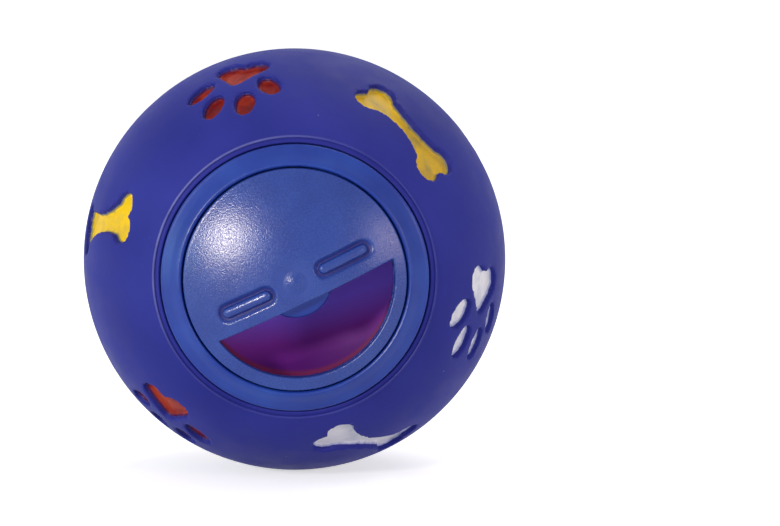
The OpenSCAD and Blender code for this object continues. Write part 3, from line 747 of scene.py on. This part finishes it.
def makeClosure():
    c = closure
    dome = (0, dial["domeCentre"])
    outer, lip = c["ringRadius"] - c["outerRound"], c["ringBore"] + c["innerRound"]
    lipTop = ringHeight(lip, -c["lipRise"])
    # the bead stands out by its height and is four times as long
    bead = [(c["neckRadius"] + c["beadHeight"] * math.sin(math.radians(a)),
             c["beadLevel"] + 2 * c["beadHeight"] * math.cos(math.radians(180 - a))) for a in range(0, 181, 20)]
    lowMeet, topMeet = (math.degrees(math.acos(c["ringBore"] / r)) for r in (c["plateLow"], c["plateTop"]))
    # the ring's top dips a little, then swells into the lip round the dial
    ringTop, steps = [], 16
    for i in range(steps + 1):
        r = outer - (outer - lip) * i / steps
        swell = max(0, 1 - (r - lip) / c["lipWidth"])
        swell = swell * swell * (3 - 2 * swell)
        ringTop.append((r, ringHeight(r, c["ringDip"] - (c["ringDip"] + c["lipRise"]) * swell)))
    profile = (arc(dome, c["plateLow"], 90, lowMeet, 24)
               + [(c["ringBore"], c["ringLow"]), (c["neckInside"], c["ringLow"]), (c["neckInside"], c["neckEnd"]),
                  (c["neckRadius"], c["neckEnd"])] + bead
               + [(c["neckRadius"], c["ringLow"]), (c["ringRadius"], c["ringLow"])]
               + arc((outer, ringHeight(outer, c["ringDip"]) - c["outerRound"]), c["outerRound"], 0, 70, 6)
               + ringTop
               + arc((lip, lipTop - c["innerRound"]), c["innerRound"], 100, 180, 8)
               + arc(dome, c["plateTop"], topMeet, 90, 24))
    body = turned(profile)
    carve(body, halfMoon(c["portRadius"], c["portOffset"]))
    corner = c["hubRadius"] - c["hubRound"]
    hub = turned([(0, c["hubLow"]), (c["hubRadius"], c["hubLow"])]
                 + arc((corner, c["hubTop"] - c["hubRound"]), c["hubRound"], 0, 90, 7) + [(0, c["hubTop"])],
                 steps=96)
    carve(body, hub, "UNION")
    carve(body, rod(c["pinHole"], cut["low"], cut["high"]))
    soften(body, closure)
    settle(body, "closureMoulding", "closure", "closure_body", ringPlastic)


makeClosure()


# The pivot pin, whose head is the soft pip in the middle of the dial
pin = {"shaft": 1.8, "headRadius": 3.4, "headTop": 54.55, "headLow": 53.92, "headEdge": 0.03,
       "barbRadius": 2.2, "barbTop": 43.5, "barbEdge": 0.3, "low": 41.4, "tipRadius": 1.4}


def makePin():
    rise, under = pin["headTop"] - pin["headLow"], pin["headLow"] - pin["headEdge"]
    steps = 10
    crown = [(pin["headRadius"] * i / steps, pin["headLow"] + rise * (math.cos(math.pi * i / steps) + 1) / 2)
             for i in range(steps, -1, -1)]
    obj = turned([(0, pin["low"]), (pin["tipRadius"], pin["low"]),
                  (pin["barbRadius"], pin["barbTop"] - pin["barbEdge"]), (pin["barbRadius"], pin["barbTop"]),
                  (pin["shaft"], pin["barbTop"]), (pin["shaft"], under), (pin["headRadius"], under)] + crown,
                 steps=64)
    settle(obj, "pivotPin", "dial_unit", "pivot_pin", dialPlastic, smoothAngle=40)


makePin()


# Floor and light. The floor touches the bottom of the ball, and its fibres are drawn 1.1 mm apart, coarser than
# real ones, so that they show
studio = {"floorLevel": -0.055, "floorSize": 12, "paper": 0.9, "fibreScale": 900, "fibre": 0.02, "ambient": 0.5,
          "floorGlow": 0.6}

# Softboxes: angle round the ball and up, distance and size across in metres, power in watts, colour
softboxes = {
    "key": {"azimuth": -35.5, "height": 14.5, "distance": 1.2, "size": 0.17, "power": 6, "colour": "#fff4ea"},
    "fill": {"azimuth": 48, "height": 12, "distance": 1.2, "size": 0.24, "power": 2.8, "colour": "#ffe6e6"},
    "side": {"azimuth": -68, "height": 6, "distance": 1.2, "size": 0.45, "power": 2.6, "colour": "#b8f0f6"},
    "top": {"azimuth": 150, "height": 55, "distance": 1.3, "size": 0.8, "power": 4.5, "colour": "#ffffff"},
    # a card that only shows as a reflection, in front of the key
    "card": {"azimuth": -35.5, "height": 14.5, "distance": 1.19, "size": 0.19, "power": 8.5, "colour": "#fff4ea",
             "diffuse": False}}


def softbox(name, azimuth, height, distance, size, power, colour, diffuse=True):
    light = bpy.data.lights.new(name + " softbox", "AREA")
    light.shape = "DISK"
    light.size = size
    light.energy = power
    light.color = linear(colour)[:3]
    obj = bpy.data.objects.new(light.name, light)
    bpy.context.collection.objects.link(obj)
    obj.visible_diffuse = diffuse
    a, h = math.radians(azimuth), math.radians(height)
    obj.location = (distance * math.cos(h) * math.sin(a), -distance * math.cos(h) * math.cos(a),
                    distance * math.sin(h))
    obj.rotation_euler = (-Vector(obj.location)).to_track_quat("-Z", "Y").to_euler()


# 1 for the rays that see the background: straight, by reflection or through something clear
def whiteRays(tree):
    path = addNode(tree, "LightPath")
    seen = addNode(tree, "Math", {0: path.outputs["Is Camera Ray"], 1: path.outputs["Is Glossy Ray"]},
                   operation="MAXIMUM")
    return addNode(tree, "Math", {0: seen.outputs["Value"], 1: path.outputs["Is Transmission Ray"]},
                   operation="MAXIMUM").outputs["Value"]


def makeStudio():
    world = bpy.data.worlds.new("white studio")
    bpy.context.scene.world = world
    world.use_nodes = True
    tree = world.node_tree
    tree.nodes.clear()
    level = addNode(tree, "MapRange", {"Value": whiteRays(tree), "To Min": studio["ambient"], "To Max": 1.0})
    sky = addNode(tree, "Background", {"Color": (1, 1, 1, 1), "Strength": level.outputs["Result"]})
    addNode(tree, "OutputWorld", {"Surface": sky.outputs["Background"]})

    deselectAll()
    bpy.ops.mesh.primitive_plane_add(size=studio["floorSize"], location=(0, 0, studio["floorLevel"]))
    floor = bpy.context.object
    floor.name = "floor"
    material, tree, place = startMaterial("white paper sweep")
    fibre = addNode(tree, "TexNoise", {"Vector": place, "Scale": studio["fibreScale"], "Detail": 2.0})
    bump = addNode(tree, "Bump", {"Height": fibre.outputs["Fac"], "Strength": studio["fibre"]})
    paper = addNode(tree, "BsdfDiffuse", {"Color": [studio["paper"]] * 3 + [1],
                                          "Normal": bump.outputs["Normal"]})
    glow = addNode(tree, "MapRange", {"Value": whiteRays(tree), "To Min": 0.0, "To Max": studio["floorGlow"]})
    shine = addNode(tree, "Emission", {"Color": (1, 1, 1, 1), "Strength": glow.outputs["Result"]})
    both = addNode(tree, "AddShader", {0: paper.outputs["BSDF"], 1: shine.outputs["Emission"]})
    addNode(tree, "OutputMaterial", {"Surface": both.outputs["Shader"]})
    floor.data.materials.append(material)

    for name, values in softboxes.items():
        softbox(name, **values)


# The photograph's view: 14 radii away and a little above, turned so that the ball sits left of the middle
shot = {"distance": 0.77, "height": 6.2, "turn": -1.86, "dip": -0.08, "lens": 135.8, "sensor": 36, "clipEnd": 50}


def makeCamera():
    lens = bpy.data.cameras.new("camera")
    lens.lens = shot["lens"]
    lens.sensor_width = shot["sensor"]
    lens.clip_end = shot["clipEnd"]
    obj = bpy.data.objects.new("camera", lens)
    bpy.context.collection.objects.link(obj)
    h = math.radians(shot["height"])
    obj.location = (0, -shot["distance"] * math.cos(h), shot["distance"] * math.sin(h))
    obj.rotation_euler = (math.radians(90 - shot["height"] + shot["dip"]), 0, math.radians(shot["turn"]))
    bpy.context.scene.camera = obj


makeStudio()
makeCamera()
bpy.context.scene.view_settings.view_transform = "Standard"
print("studio ready")
